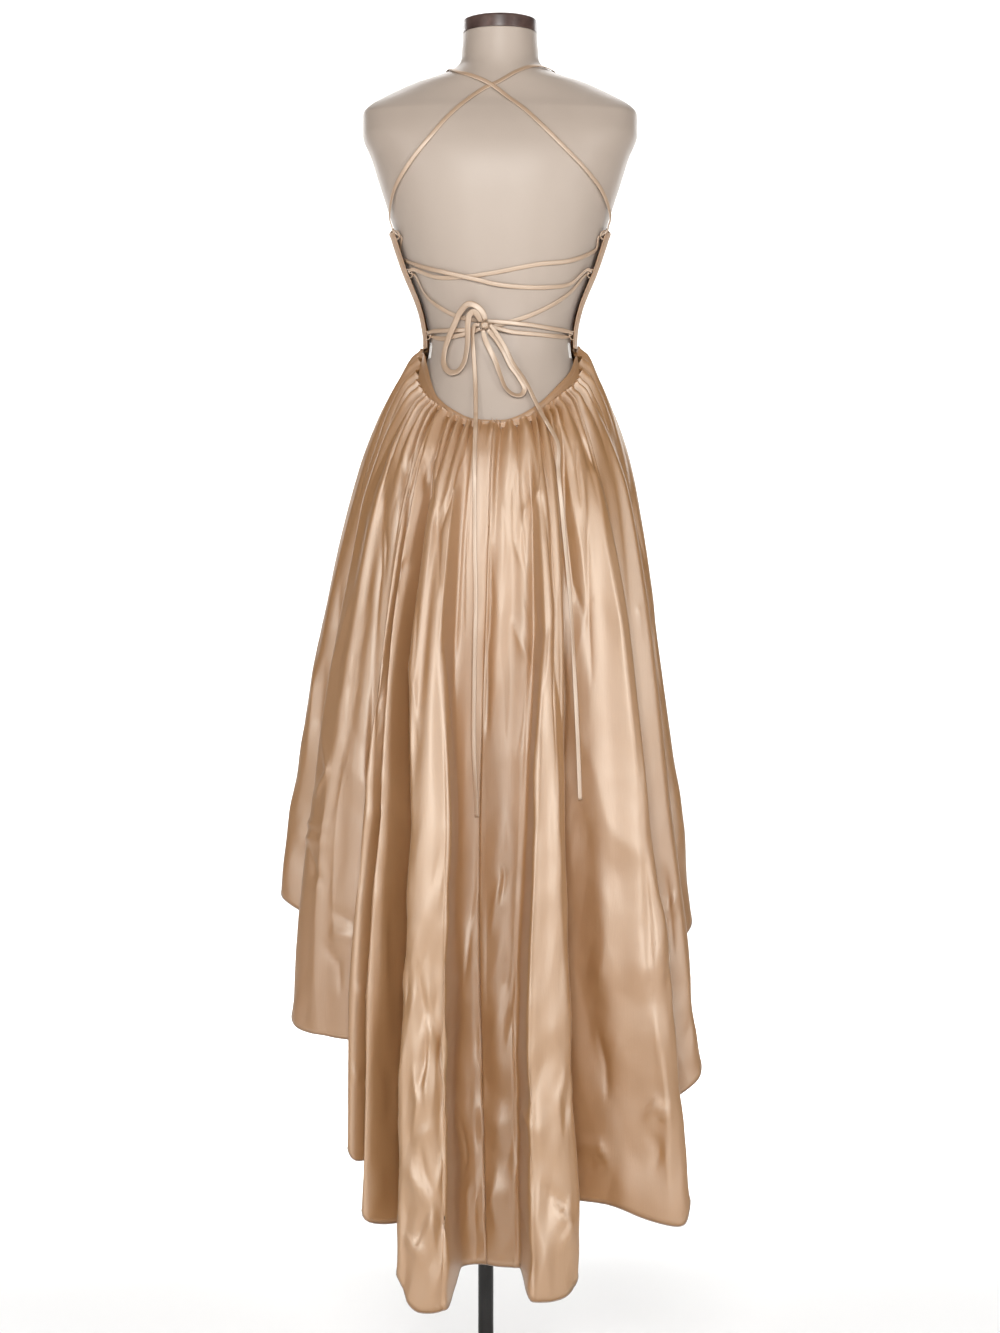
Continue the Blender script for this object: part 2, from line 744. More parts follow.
PLACKET = (-2.2, -0.5)  # gathers beside the zip that are pressed flat
EDGE_LIFT = 0.0014  # how far the gathered edge stands off the band
CREST = {"out": 0.0042, "down": 0.022, "rise": 0.0030, "sink": 0.0012, "fade": 0.009}
STEEPEST = 2.2  # how much a fold may turn in for each metre of drop
STRAIGHT_BACK = (11, 6)  # degrees beside the centre back where folds run straight in, and where they turn


class FoldSet:
    """Uneven folds side by side: each valley has its own place, depth, and length down the cloth."""

    def __init__(self, seed, spacing, depth, reach, long_ones, drift):
        rng = np.random.default_rng(seed)
        steps = rng.uniform(*spacing, 400)
        valleys = np.cumsum(steps)
        count = int(np.searchsorted(valleys, GATHERS))
        self.valleys = np.concatenate([[0], valleys[:count] * GATHERS / valleys[count - 1]])
        self.depth = rng.uniform(*depth, count)
        self.reach = rng.uniform(*reach, count)
        self.reach[rng.choice(count, int(count * long_ones), replace=False)] *= 2.4
        self.drift, self.seed = drift, seed

    def inset(self, gather, drop, start):
        warp = self.drift * np.clip(drop / 0.10, 0, 1) * cloth_noise(gather * 0.31, drop * 6, self.seed)
        place = (gather + warp) % GATHERS
        left = np.clip(np.searchsorted(self.valleys, place, side="right") - 1, 0, len(self.valleys) - 2)
        t = (place - self.valleys[left]) / (self.valleys[left + 1] - self.valleys[left])
        right = (left + 1) % len(self.depth)
        rise = np.clip(drop / start, 0, 1)
        deep = [self.depth[k] * np.exp(-((drop / self.reach[k]) ** 1.5)) for k in (left, right)]
        return rise * (1 - np.sin(np.pi * t) ** 0.75) * (deep[0] * (1 - t) + deep[1] * t)


def lattice(seed, size=64):
    return np.random.default_rng(seed).uniform(-1, 1, (size, size))


def cloth_noise(u, v, seed, crisp=False):
    """Noise from -1 to 1 over the cloth, one cell to each unit: smooth, or bent between flat facets."""
    table = lattice(seed)
    size = table.shape[0]
    a, b = np.floor(u).astype(int), np.floor(v).astype(int)
    s, t = u - a, v - b
    if not crisp:
        s, t = s * s * (3 - 2 * s), t * t * (3 - 2 * t)
    corner = [table[(a + i) % size, (b + j) % size] for i in (0, 1) for j in (0, 1)]
    left = corner[0] * (1 - t) + corner[1] * t
    right = corner[2] * (1 - t) + corner[3] * t
    return left * (1 - s) + right * s


PUFFS = FoldSet(5, (0.70, 1.90), (0.0090, 0.0200), (0.028, 0.085), 0.20, 0.35)
MIDDLING = FoldSet(9, (1.6, 4.6), (0.0040, 0.0140), (0.12, 0.32), 0.14, 1.00)


def gather_inset(gather, drop):
    """The small puffs at the seam, and the middling folds that they run into."""
    inset = PUFFS.inset(gather, drop + 0.004, 0.012) + MIDDLING.inset(gather, drop, 0.10)
    beside = np.clip(np.maximum(PLACKET[0] - gather, gather - PLACKET[1]) / 0.45, 0, 1)
    beside = beside * beside * (3 - 2 * beside)
    lasting = np.clip(1.6 - drop / 0.16, 0, 1)
    return inset * (1 - 0.9 * (1 - beside) * lasting)


def skirt_places(gather, share):
    """Places on the skirt's outside: gathers from the centre back, and the share of the way to the hem."""
    gather, share = np.broadcast_arrays(np.asarray(gather, float), share)
    angle = cloth_angle(gather)
    signed = wrapped(angle)
    (top,) = read_table(SKIRT_TOP, signed)
    (hem,) = read_table(HEM, signed)
    drop = (top - hem) * share
    side, back, front, sway, fold, small_fold = read_table(SKIRT_SWING, drop)
    sine, cosine = np.sin(np.radians(angle)), np.cos(np.radians(angle))
    places = form_points(angle, top, ease(angle) + CLOTH + EDGE_LIFT)
    wave = 0.5 * gather + 0.4 / np.pi * np.sin(np.radians(3 * angle))
    inset = fold * large_fold(angle, drop) + 0.35 * small_fold * (1 - np.cos(2 * np.pi * wave))
    inset = inset + gather_inset(gather, drop)
    inset = np.minimum(inset, 0.0004 + drop * STEEPEST)
    crest = np.clip(1 - PUFFS.inset(gather, 0.012 + 0 * drop, 0.012) / 0.0035, 0, 1)
    inset = inset - CREST["out"] * crest * bell(drop, CREST["down"])
    aside = np.clip((np.abs(signed) - STRAIGHT_BACK[0]) / STRAIGHT_BACK[1], 0, 1)
    places[..., 0] += -sine * side + aside * sine * inset + sway
    places[..., 1] += cosine * np.where(cosine > 0, back, front) - cosine * inset
    ruffle = (CREST["rise"] * crest - CREST["sink"]) * np.exp(-drop / CREST["fade"])
    places[..., 2] = top - drop + ruffle
    return places, drop


print("gathers", GATHERS, "deepest fold", FOLD_INSET.max())

# %% [markdown]
# Cloth is never as even as its pattern. Soft troughs and ridges are laid on the skirt by hand, each with
# its own way across the cloth, width and height, and the lower part gets the small crumples of a skirt
# that has been folded and carried.


# %% Creases
CREASES = (
    # points as (gather from the centre back, metres below the top edge), then width and height in mm
    (((-0.4, 0.160), (-0.3, 0.247), (-0.4, 0.32), (-0.3, 0.43)), 3.4, -13),
    (((-0.15, 0.202), (0.0, 0.265), (0.0, 0.383)), 7, 4),
    (((1.65, 0.084), (1.8, 0.156), (2.0, 0.207)), 4, -4),
    (((3.95, 0.071), (3.2, 0.109), (1.95, 0.13), (1.65, 0.165)), 4, 4),
    (((3.45, 0.115), (3.85, 0.172), (4.55, 0.27)), 4, -4),
    (((1.0, 0.093), (1.0, 0.166), (1.7, 0.202)), 4, 3),
    (((-7.0, 0.044), (-6.0, 0.091), (-5.05, 0.144)), 3.5, 4),
    (((-5.9, 0.098), (-4.55, 0.174), (-3.95, 0.235)), 5, -5),
    (((-3.05, 0.049), (-3.8, 0.111), (-4.5, 0.161)), 4, -5),
    (((-3.85, 0.045), (-4.0, 0.099), (-4.85, 0.136)), 4, 3),
    (((-1.95, 0.086), (-1.85, 0.167), (-1.5, 0.291)), 4, -4),
    (((-3.65, 0.269), (-3.25, 0.339), (-2.6, 0.412), (-1.55, 0.579)), 5, 4),
    (((-7.2, 0.287), (-5.55, 0.372), (-4.5, 0.437)), 5, 4),
    (((-7.35, 0.207), (-7.4, 0.235), (-7.4, 0.258)), 4, -4),
    (((-5.95, 0.179), (-7.25, 0.215), (-7.35, 0.244)), 4, -3),
    (((-10.55, 0.076), (-8.0, 0.128), (-7.45, 0.182)), 5, -4),
    (((-7.9, 0.058), (-7.0, 0.1), (-5.8, 0.125)), 5, -4),
    (((-12.8, 0.104), (-9.85, 0.203), (-7.95, 0.409), (-7.0, 0.643)), 4, -7),
    (((-12.75, 0.09), (-10.0, 0.24), (-9.35, 0.507), (-7.95, 0.654)), 4, -7),
    (((-16.65, 0.305), (-16.5, 0.363), (-11.6, 0.398)), 5, -4),
    (((-16.75, 0.42), (-16.7, 0.497), (-13.2, 0.567)), 6, -4),
    (((-13.35, 0.486), (-12.3, 0.523), (-13.45, 0.569)), 4, 3),
    (((-16.8, 0.641), (-13.15, 0.601), (-11.6, 0.595)), 4, 4),
    (((-16.75, 0.668), (-13.15, 0.62), (-11.6, 0.62)), 4, 4),
    (((-13.2, 0.636), (-12.55, 0.66), (-11.65, 0.673)), 4, -2.5),
    (((8.9, 0.097), (8.0, 0.193), (7.7, 0.318), (7.75, 0.388)), 5, -6),
    (((9.35, 0.113), (8.95, 0.212), (9.05, 0.319), (9.0, 0.542)), 6, 5),
    (((8.5, 0.061), (7.9, 0.1), (7.75, 0.149)), 4, -4),
    (((9.1, 0.064), (9.2, 0.093), (9.7, 0.119)), 4, -4),
    (((6.85, 0.062), (6.4, 0.15), (6.8, 0.249), (7.65, 0.307)), 4, -4),
    (((7.05, 0.086), (7.5, 0.203), (7.7, 0.281)), 4, 3),
    (((15.9, 0.15), (17.0, 0.219), (17.55, 0.303)), 5, -4),
    (((17.1, 0.317), (13.2, 0.321), (13.25, 0.357)), 4, 3),
    (((17.55, 0.36), (17.35, 0.423), (17.45, 0.481)), 4, -3),
    (((1.9, 0.248), (2.75, 0.283), (2.9, 0.32)), 5, -3.5),
    (((0.75, 0.27), (1.85, 0.318), (2.55, 0.35)), 5, 3.5),
    (((3.55, 0.297), (3.3, 0.339), (3.0, 0.379)), 4, 3.5),
    (((4.55, 0.27), (3.85, 0.387), (3.75, 0.519)), 5, -4),
    (((1.9, 0.355), (1.75, 0.404), (1.4, 0.454)), 6, -3),
    (((2.7, 0.427), (2.5, 0.492), (2.55, 0.559)), 5, 3),
    (((6.05, 0.333), (6.3, 0.398), (6.15, 0.488)), 4, -3),
    (((-17.9, 0.401), (-17.05, 0.465), (-16.9, 0.557)), 5, 3),
    (((-0.5, 0.631), (-0.95, 0.72), (-1.15, 0.774)), 1.8, 2.4),
    (((-0.35, 0.644), (-0.35, 0.733), (-0.4, 0.853)), 1.8, 2.4),
    (((0.3, 0.623), (0.1, 0.655), (-0.1, 0.701)), 4, 3),
    (((0.3, 0.601), (0.55, 0.619), (0.3, 0.655)), 4, -3),
    (((-3.35, 0.815), (-3.45, 0.867), (-3.8, 0.893)), 4, -3),
    (((-3.2, 0.836), (-3.4, 0.877), (-3.4, 0.914)), 3, 3),
    (((-3.85, 0.726), (-3.55, 0.778), (-2.5, 0.823)), 5, -2.5),
    (((-1.95, 0.806), (-2.5, 0.835), (-2.9, 0.879)), 5, -2.5),
    (((-4.0, 0.861), (-3.75, 0.91), (-4.0, 0.953)), 4, 3),
    (((-2.95, 0.938), (-3.6, 0.95), (-3.95, 0.968)), 4, 2.5),
    (((-3.7, 0.962), (-3.5, 0.995), (-3.0, 1.037)), 4, -3),
    (((-2.2, 0.96), (-2.75, 0.994), (-3.15, 1.031)), 4, 3),
    (((-3.15, 1.036), (-3.6, 1.063), (-3.95, 1.095)), 4, -3),
    (((-3.15, 1.036), (-2.5, 1.057), (-2.25, 1.089)), 4, -3),
    (((-3.2, 1.036), (-3.25, 1.067), (-3.0, 1.105)), 4, 3),
    (((-4.55, 1.085), (-3.85, 1.098), (-3.4, 1.108)), 4, 3),
    (((-4.2, 0.99), (-3.85, 1.018), (-3.5, 1.03)), 4, 2.5),
    (((5.85, 0.907), (3.6, 0.919), (3.2, 0.951)), 5, -3),
    (((3.5, 0.879), (3.0, 0.912), (3.05, 0.955)), 5, 2.5),
    (((2.2, 1.019), (2.75, 1.036), (3.5, 1.065)), 4, -3),
    (((3.5, 1.065), (3.1, 1.086), (2.65, 1.104)), 4, 3),
    (((3.4, 1.041), (3.1, 1.061), (2.55, 1.065)), 4, 2.5),
    (((-0.1, 0.957), (1.15, 0.971), (1.65, 0.991)), 3.5, 3.5),
    (((0.25, 0.952), (1.3, 0.955), (1.8, 0.966)), 3.5, -3),
    (((1.1, 0.935), (1.45, 0.932), (1.85, 0.945)), 3, 3),
    (((1.3, 0.909), (1.1, 0.935), (1.45, 0.944)), 3.5, -2.5),
    (((-1.35, 0.952), (-1.25, 1.003), (-1.55, 1.022)), 3, 3.5),
    (((-0.7, 1.016), (-1.25, 1.051), (-1.2, 1.086)), 3, -2.5),
    (((-0.1, 1.014), (-0.2, 1.059), (-0.1, 1.096)), 4, 3),
    (((0.85, 1.071), (1.15, 1.085), (1.3, 1.098)), 3.5, -2.5),
    (((8.95, 0.626), (8.85, 0.726), (8.75, 0.826)), 4, -3.5),
    (((8.75, 0.826), (8.85, 0.896), (8.9, 0.957), (8.75, 1.086)), 5, 4),
    (((8.4, 0.976), (8.65, 0.956), (8.9, 0.979)), 4, 4),
    (((8.4, 0.991), (8.6, 1.008), (8.5, 1.046)), 5, -2.5),
    (((7.15, 0.853), (7.35, 0.899), (7.35, 0.943)), 6, -3),
    (((6.0, 1.0), (7.0, 1.005), (7.3, 1.024)), 4, 3.5),
    (((7.3, 1.024), (6.8, 1.029), (5.9, 1.042)), 4, -2.5),
    (((-10.9, 0.705), (-9.8, 0.712), (-9.4, 0.724)), 4, -2.5),
    (((-10.95, 0.734), (-9.9, 0.734), (-9.6, 0.737)), 4, 2.5),
    (((-11.4, 0.753), (-10.25, 0.771), (-10.1, 0.812)), 6, -2.5),
    (((-8.2, 0.894), (-7.95, 0.902), (-7.2, 0.906)), 3, 3),
    (((-8.1, 0.897), (-8.65, 0.922), (-8.8, 0.959)), 3, -2.5),
    (((-8.0, 0.787), (-7.8, 0.792), (-7.1, 0.788)), 3, 2),
    (((13.55, 0.711), (13.35, 0.724), (13.1, 0.736)), 3.5, 3),
    (((13.15, 0.672), (13.2, 0.737), (13.15, 0.795)), 5, -3),
    (((-6.85, 0.646), (-6.8, 0.755), (-6.75, 0.875)), 3, 3),
    (((-6.8, 0.875), (-6.7, 0.919), (-6.8, 0.976)), 4, -3),
    (((-6.95, 1.012), (-6.95, 1.04), (-7.05, 1.076)), 5, 2.5),
)


CREASE = {"wide": 1.25, "tall": 1.05, "more_low": 0.85, "from": 0.35, "round": 0.7 * MM}
CRUMPLES = {"steep": 0.0060, "other": 0.0054, "fine": 0.0042, "long": 0.0016, "from": 0.40, "full": 0.76}


def crease_height(places):
    """The height of all the hand-laid creases over the cloth, in metres outward. Low ones are crisper."""
    height = np.zeros(places.shape[:2])
    for line, width, tall in CREASES:
        gather, drop = np.array(line, dtype=float).T
        (top,) = read_table(SKIRT_TOP, wrapped(cloth_angle(gather)))
        (hem,) = read_table(HEM, wrapped(cloth_angle(gather)))
        points, _ = skirt_places(gather, drop / (top - hem))
        lengths = np.linalg.norm(np.diff(points, axis=0), axis=1)
        reached = np.concatenate([[0], np.cumsum(lengths)])
        nearest = np.full(height.shape, 1.0)
        along = np.zeros(height.shape)
        for start, end, before, length in zip(points, points[1:], reached, lengths):
            way = (end - start) / length
            t = np.clip((places - start) @ way, 0, length)
            away = np.linalg.norm(places - start - t[..., None] * way, axis=-1)
            closer = away < nearest
            nearest = np.where(closer, away, nearest)
            along = np.where(closer, before + t, along)
        taper = np.sin(np.pi * np.clip(along / reached[-1], 0.02, 0.98)) ** 0.6
        spread = width * MM * CREASE["wide"] * (0.4 + 0.6 * taper)
        lower = np.clip((drop.mean() - CREASE["from"]) / CREASE["from"], 0, 1)
        stronger = CREASE["tall"] + CREASE["more_low"] * lower
        crest = np.exp(-np.hypot(nearest, CREASE["round"]) / spread)
        height += stronger * tall * MM * taper * crest
    return height


def crumple_height(gather, drop, share):
    """Long soft ridges all the way down, and crossing crumples, mostly towards the hem."""
    bend = 0.7 * cloth_noise(gather * 0.3, drop * 5, 11)
    sway = 0.5 * cloth_noise(gather * 0.7 + 9, drop * 9, 12)
    long_ridges = 1 - 2 * np.abs(cloth_noise(gather * 0.42 + bend, drop * 3.2, 3))
    steep = cloth_noise(gather * 0.75 + drop * 5 + bend, drop * 6.5 - gather * 0.22 + sway, 5, True)
    other = cloth_noise(gather * 0.85 - drop * 7 + sway, drop * 8 + gather * 0.26 - bend, 6, True)
    fine = cloth_noise(gather * 1.7 + drop * 14 - bend, drop * 19 - gather * 0.5 + sway, 7, True)
    where = np.clip((share - CRUMPLES["from"]) / (CRUMPLES["full"] - CRUMPLES["from"]), 0, 1)
    where = where * np.clip(0.55 + cloth_noise(gather * 0.23, drop * 4, 8), 0, 1)
    where = where + 0.25 * np.clip(cloth_noise(gather * 0.27, drop * 5 + 3, 9) - 0.1, 0, 1)
    height = CRUMPLES["long"] * long_ridges * np.clip(drop / 0.12, 0, 1)
    facets = CRUMPLES["steep"] * steep + CRUMPLES["other"] * other + CRUMPLES["fine"] * fine
    return height + where * facets


# %% Skirt panels
PANELS = {
    # name: first and last seam in gathers, columns a gather, rows, node
    "panel_back_left": (-20.5, -0.5, 13, 184, "skirt_back_left"),
    "panel_back_right": (-0.5, 19.5, 13, 184, "skirt_back_right"),
    "panel_front": (19.5, 51.5, 9, 170, "skirt_front"),
}
SEAM_SLIT = 0.003  # gathers between a panel's edge and its seam
SEAM_DIP = {"deep": 0.0004, "spread": 0.10}
ROW_CROWDING = 1.35  # rows lie closer together at the top, where the gathers are
panel_places = {}
for name, (first, last, fineness, rows, node) in PANELS.items():
    columns = round((last - first) * fineness) + 1
    gather = np.linspace(first + SEAM_SLIT, last - SEAM_SLIT, columns)[None, :]
    share = np.linspace(0, 1, rows)[:, None] ** ROW_CROWDING
    places, drop = skirt_places(gather, share)
    gather, share = np.broadcast_arrays(gather, share)
    from_seam = np.minimum(gather - first, last - gather)
    near_seam = np.exp(-from_seam / 0.4)[..., None]
    radial = np.radians(cloth_angle(gather))
    radial = np.stack([-np.sin(radial), np.cos(radial), 0 * radial], axis=-1)
    normals = unit(grid_normals(places) * (1 - near_seam) + radial * near_seam)
    detail = crease_height(places) + crumple_height(gather, drop, share)
    seam = SEAM_DIP["deep"] * np.exp(-from_seam / SEAM_DIP["spread"])
    places = places + normals * (detail - seam)[..., None]
    panel_places[name] = places
    panel = cloth_sheet(name, places, SATIN_SKIRT, wall=0.0007)
    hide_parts(node)

# %% [markdown]
# Each panel's hem is a narrow rolled edge in a greyer thread. The two back panels meet at the centre
# back, where a concealed zip is closed under the folded edges.


# %% Hems, zip seam and stitches
def along_tube(name, line, radius, material, sides=6):
    line = np.asarray(line, dtype=float)
    return tube_piece(name, round_rings(line, radius, sides, facing=(0.3, 0.9, 0.3)), material)


def stitches(name, line, outward, long=2.0 * MM, gap=1.1 * MM, radius=0.22 * MM):
    """A row of machine stitches that lies on the cloth along a line."""
    line = np.asarray(line, dtype=float)
    reached = np.concatenate([[0], np.cumsum(np.linalg.norm(np.diff(line, axis=0), axis=1))])
    starts = np.arange(gap, reached[-1] - long, long + gap)
    bm = bmesh.new()
    for at in starts:
        ends = [np.array([np.interp(at + d, reached, line[:, k]) for k in range(3)]) for d in (0, long)]
        out = np.array([np.interp(at, reached, outward[:, k]) for k in range(3)])
        turn = Vector(ends[1] - ends[0]).to_track_quat("Z", "X").to_matrix().to_4x4()
        turn.translation = Vector((ends[0] + ends[1]) / 2 + out * radius * 0.4)
        bmesh.ops.create_cone(
            bm, cap_ends=True, segments=5, radius1=radius, radius2=radius * 0.8, depth=long, matrix=turn
        )
    mesh = bpy.data.meshes.new(name)
    bm.to_mesh(mesh)
    bm.free()
    return link_piece(name, mesh, THREAD)


HEM_RADIUS = 0.85 * MM
ZIP_LENGTH = 0.150
HOOK_WIRE = ((3.6, 0, 2.5), (1.6, 1.0, -0.5), (0, 1.4, -4.5), (-1.8, 1.0, -1.0), (-4.2, 0, 2.0))
hems = {}
for name, places in panel_places.items():
    edge = places[-1] - 0.35 * MM * grid_normals(places)[-1]
    hems[name] = along_tube(name.replace("panel", "hem"), edge, HEM_RADIUS, HEM_EDGE)

left_edge = panel_places["panel_back_left"][:, -1]
right_edge = panel_places["panel_back_right"][:, 0]
zip_line = (left_edge + right_edge) / 2
zip_rows = zip_line[:, 2] > zip_line[0, 2] - ZIP_LENGTH
zip_path = zip_line[zip_rows] + np.array([0, 0.5 * MM, 0])
zip_path[:, 0] += 0.35 * MM * np.sin(np.linspace(0, 40, len(zip_path)))
zip_seam = along_tube("zip_seam", zip_path, 0.8 * MM, SATIN_SKIRT, sides=8)
hook_at = zip_path[0] + np.array([0, 1.2 * MM, 1.0 * MM])
hook = along_tube("waist_hook", [hook_at + np.array(step) * MM for step in HOOK_WIRE], 0.45 * MM, THREAD)
print("hems", len(hems), "zip", len(zip_path), "points")

# %% [markdown]
# The bodice is cut as one close wall round the front. Its back edges and neckline are turned and
# stitched, two seams shape each cup, and it has side seams.

# %% Bodice
BODICE_EDGE = 74
BODICE_BOTTOM = 1.446
NECKLINE = smooth_table(
    (
        # angle, height
        (74, 1.607),
        (95, 1.612),
        (120, 1.640),
        (136, 1.678),
        (147, 1.690),
        (158, 1.672),
        (180, 1.615),
    )
)
CUP_BRIDGE = {"out": 0.009, "spread": 16, "tall": 0.06}
CUP_SEAM = {"angle": 31, "width": 0.7, "deep": 0.7 * MM}
SIDE_SEAM = {"angle": 92, "width": 0.7, "deep": 0.6 * MM}
EDGE_TURN = 0.006  # how wide the neckline's turned edge is
PIPING = 0.62 * MM
BODICE_COLUMNS, BODICE_ROWS = 360, 96


def bodice_places(angle, share):
    """Places on the bodice's outside, with its seams, turned edges and small pulls."""
    (top,) = read_table(NECKLINE, np.abs(wrapped(angle)))
    height = top + (BODICE_BOTTOM - top) * share
    from_front = 180 - np.abs(wrapped(angle))
    from_edge = np.minimum(angle - BODICE_EDGE, 360 - BODICE_EDGE - angle)
    from_top = (top - height) / EDGE_TURN
    bridge = CUP_BRIDGE["out"] * bell(from_front, CUP_BRIDGE["spread"])
    lift = ease(angle) + bridge * bell(height - BUST["height"], CUP_BRIDGE["tall"]) + CLOTH
    cup_seam = CUP_SEAM["angle"] * (0.55 + 0.45 * bell(height - BUST["height"], 0.11))
    lift = lift - CUP_SEAM["deep"] * bell(from_front - cup_seam, CUP_SEAM["width"])
    lift = lift - SIDE_SEAM["deep"] * bell(from_front - SIDE_SEAM["angle"], SIDE_SEAM["width"])
    lift = lift + 0.35 * MM * (bell(from_edge, 3.2) + bell(from_top, 1.0))
    lift = lift - 0.25 * MM * bell(from_edge - 4.6, 0.5) - 0.25 * MM * bell(from_top - 1.6, 0.3)
    pull = 0.5 + 0.5 * np.cos(np.radians(from_front) * 2)
    ripple = np.sin(height * 260 + 2.2 * np.sin(np.radians(angle * 3))) * bell(from_front - 96, 16)
    lift = lift + 0.35 * MM * ripple * pull
    waist = np.clip((BODICE_BOTTOM + 0.03 - height) / 0.03, 0, 1)
    lift = lift + 0.5 * MM * waist * np.sin(np.radians(angle) * 34 + np.sin(np.radians(angle) * 11))
    return form_points(angle, height, lift)


bodice_angles = np.linspace(BODICE_EDGE, 360 - BODICE_EDGE, BODICE_COLUMNS + 1)[None, :]
bodice_rows = np.linspace(0, 1, BODICE_ROWS)[:, None]
bodice_grid = bodice_places(bodice_angles, bodice_rows)
bodice = cloth_sheet("bodice", bodice_grid, SATIN_BODICE, wall=0.9 * MM)
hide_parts("bodice_front")
bodice_out = grid_normals(bodice_grid)
BODICE_LINES = (
    # edge's name, its line in the grid, and the stitches' name and line
    ("neckline_edge", np.s_[0], "neckline_stitches", np.s_[5]),
    ("edge_right", np.s_[:, 0], "edge_stitches_right", np.s_[:, 8]),
    ("edge_left", np.s_[:, -1], "edge_stitches_left", np.s_[:, -9]),
)
bodice_trim = []
for name, line, _, _ in BODICE_LINES:
    edge = bodice_grid[line] - bodice_out[line] * 0.45 * MM
    bodice_trim.append(along_tube(name, edge, PIPING, SATIN_BODICE))
for _, _, name, line in BODICE_LINES:
    bodice_trim.append(stitches(name, bodice_grid[line], bodice_out[line]))

# %% [markdown]
# A bias band edges the open back in two halves. It shows as a smooth strip above the gathers, with a
# row of stitches by its lower edge.

# %% Back band
BAND_TOP = smooth_table(
    (
        # angle from the centre back, below 0 on the wearer's left, and height
        (-84, 1.441),
        (-69.5, 1.423),
        (-54.5, 1.393),
        (-47.6, 1.379),
        (-37.5, 1.3645),
        (-25, 1.3500),
        (-15, 1.341),
        (0, 1.3385),
        (10.7, 1.346),
        (24.6, 1.364),
        (41.2, 1.388),
        (62.6, 1.413),
        (81, 1.435),
    )
)
BAND_UNDERLAP = 0.008
BAND_END = 82
BAND_COLUMNS, BAND_ROWS = 181, 22
band_trim = []
for side, name in ((-1, "left"), (1, "right")):
    reach = np.linspace(0.1, BAND_END, BAND_COLUMNS)[None, ::-side]
    angle = side * reach
    (top,) = read_table(BAND_TOP, angle)
    (gathers,) = read_table(SKIRT_TOP, angle)
    share = np.linspace(0, 1, BAND_ROWS)[:, None]
    height = top + (gathers - BAND_UNDERLAP - top) * share
    roll = 0.25 * MM * np.sin(np.pi * np.clip(share * 2.2, 0, 1))
    pucker = 0.18 * MM * np.sin(np.radians(reach) * 150) * share
    places = form_points(angle, height, ease(angle) + CLOTH + roll - 0.2 * MM + pucker)
    places = places[:, ::-1]
    band = cloth_sheet("band_" + name, places, SATIN_BODICE, wall=0.8 * MM)
    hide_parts("back_band_" + name)
    out = grid_normals(places)
    edge = along_tube("band_edge_" + name, places[0] - out[0] * 0.4 * MM, 0.5 * MM, SATIN_BODICE)
    row = stitches("band_stitches_" + name, places[6], out[6], radius=0.18 * MM)
    band_trim.append((band, [edge, row]))

# %% [markdown]
# A sheet of cloth is cut flat before it is sewn. The cuts are stated here beside what the sewn pieces
# measure, so a sheet that was stretched or crushed by mistake would show.


# %% Cuts
def cloth_area(piece):
    return sum(face.area for face in piece.data.polygons)


CUTS = {
    # piece: width and length of the cloth it is cut from, the cut's area, and how it is held
    "panel_back_left": (1.46, 1.24, 0.96, "gathered"),
    "panel_back_right": (1.25, 1.24, 0.84, "gathered"),
    "panel_front": (1.10, 0.79, 0.53, "gathered"),
    "bodice": (0.56, 0.265, 0.094, "stretched"),
    "band_left": (0.20, 0.040, 0.0036, "stretched"),
    "band_right": (0.20, 0.029, 0.0036, "stretched"),
}
goes_with = {name: [hems[name]] for name in PANELS}
goes_with["panel_back_right"] += [zip_seam, hook]
goes_with["bodice"] = bodice_trim
goes_with.update({band.name: trim for band, trim in band_trim})
for name, (width, length, area, held) in CUTS.items():
    piece = bpy.data.objects[name]
    print("cut", name, area, "sewn", round(cloth_area(piece), 4), "square metres")

# %% [markdown]
# Six small loops of thin cord stand on the bodice's back edges. Each narrow strap is one long tie: it
# comes over the shoulder, runs through the loops on its way down, and ends in the bow. The routes are
# short tables of places on the back of the form and at the loops.


# %% Places on the form, at the loops and at the knot
LOOP_HEIGHTS = {"top": 1.603, "middle": 1.5495, "low": 1.4635}
LOOP_CORD = 1.8 * MM
LOOP_REACH = 9.0 * MM
LOOP_TALL = 11.0 * MM
LOOP_LIFT = {"edge": 7.0 * MM, "tip": 4.9 * MM}
KNOT = {"x": 0.0190, "height": 1.4705, "lift": 0.0145, "size": (0.0056, 0.0046, 0.0050)}
LOOPS = [f"{row}_{side}" for row in ("top", "middle", "low") for side in ("left", "right")]


def side_angle(x, height, front=False):
    """The angle at which the form's back, or front, is that far to the side."""
    turns = np.linspace(0, 88, 1500)
    reach = np.abs(form_points(180 - turns if front else turns, height)[:, 0] - FORM_X)
    turn = np.interp(abs(x), reach, turns)
    return math.copysign(180 - turn if front else turn, -x)


def on_form(x, height, lift, front=False):
    return form_points(side_angle(x, height, front), height, lift)


def loop_point(loop, reach, rise, lift):
    """A place at a loop: so far in from the bodice's edge, above the loop's middle, and off the form."""
    row, side = loop.split("_")
    height = LOOP_HEIGHTS[row] + rise
    sign = -1 if side == "left" else 1
    edge, beside = form_points(sign * BODICE_EDGE, height), form_points(sign * (BODICE_EDGE - 2), height)
    turn = 2 * reach / np.linalg.norm(edge - beside)
    return form_points(sign * (BODICE_EDGE - turn), height, lift)


def knot_point(along=0.0, rise=0.0, out=0.0):
    """A place beside the knot's middle, in its own sideways, upward and outward directions."""
    middle = on_form(KNOT["x"], KNOT["height"], KNOT["lift"])
    outward = unit(middle - on_form(KNOT["x"], KNOT["height"], 0))
    sideways = unit(np.cross(outward, (0, 0, 1)))
    sideways = sideways * math.copysign(1, sideways[0])
    return middle + sideways * along + np.array((0, 0, rise)) + outward * out


def between(points, k, t, knots, end):
    return points[k] + (points[k + 1] - points[k]) * (t - knots[k]) / (knots[end] - knots[k])


